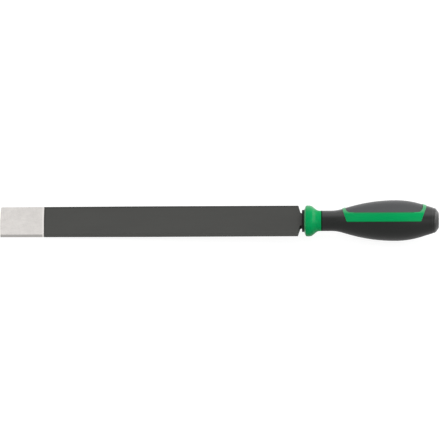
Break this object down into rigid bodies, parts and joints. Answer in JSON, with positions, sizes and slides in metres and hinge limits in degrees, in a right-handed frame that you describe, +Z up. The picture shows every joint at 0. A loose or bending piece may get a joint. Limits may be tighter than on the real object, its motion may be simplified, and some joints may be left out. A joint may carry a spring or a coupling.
{
  "type": "flat scraper",
  "caption": "Hand scraper with a long flat steel blade, ground bright at its crowned tip, and a bellied two-component grip with a flared collar, lying at rest",
  "frame": {"origin": "middle of the tool's length and width, on the surface that it lies on", "axes": "+X runs from the cutting edge to the butt, +Y across the blade, +Z up from the table"},
  "size_m": [0.365, 0.0339, 0.0341],
  "materials": {
    "black_steel": "matt black oxide, with the tip ground bright",
    "ring_steel": "satin black",
    "green_plastic": "satin moulded",
    "soft_grip": "matt, finely grained"
  },
  "bodies": {
    "root": {"blade": "black_steel", "bolster_ring": "ring_steel", "handle_core": "green_plastic", "grip_sleeve": "soft_grip", "grip_panel": "soft_grip"}
  },
  "joints": []
}
